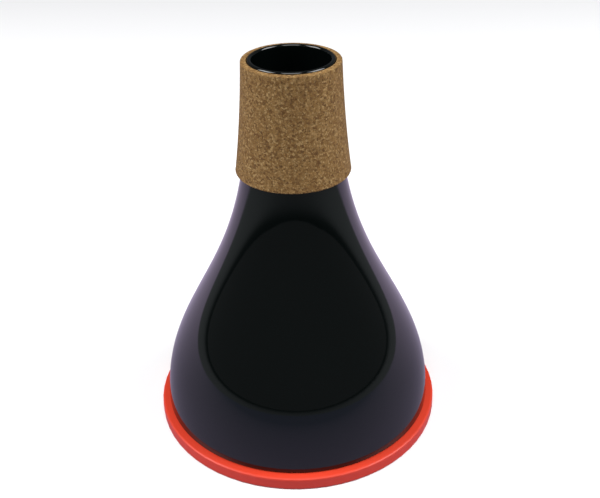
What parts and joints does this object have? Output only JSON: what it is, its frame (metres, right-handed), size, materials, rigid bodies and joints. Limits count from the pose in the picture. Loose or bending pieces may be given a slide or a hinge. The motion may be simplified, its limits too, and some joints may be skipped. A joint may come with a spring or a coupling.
{
  "type": "flugelhorn practice mute",
  "caption": "Practice mute for a flugelhorn: a flared black shell with a cork collar on its neck, closed by a wide vented cap that it stands on, with a slotted tube inside.",
  "frame": {"origin": "middle of the circle that the base cap's foot stands on", "axes": "+Z along the mute's axis, from the base cap towards the neck's mouth; the mute is round, so +X and +Y are free"},
  "size_m": [0.126, 0.126, 0.165],
  "materials": {
    "shell_plastic": "polished black moulding",
    "cap_plastic": "satin orange-red moulding",
    "cork": "ground agglomerated cork sheet, unsealed",
    "inner_plastic": "plain black moulding",
    "foam": "open-cell foam, cut faces"
  },
  "bodies": {
    "root": {"shell": "shell_plastic", "cork_collar": "cork", "base_cap": "cap_plastic", "inner_tube": "inner_plastic", "tube_plug": "inner_plastic", "tube_spider": "inner_plastic", "foam_sleeve": "foam", "floor_pad": "foam"}
  },
  "joints": []
}
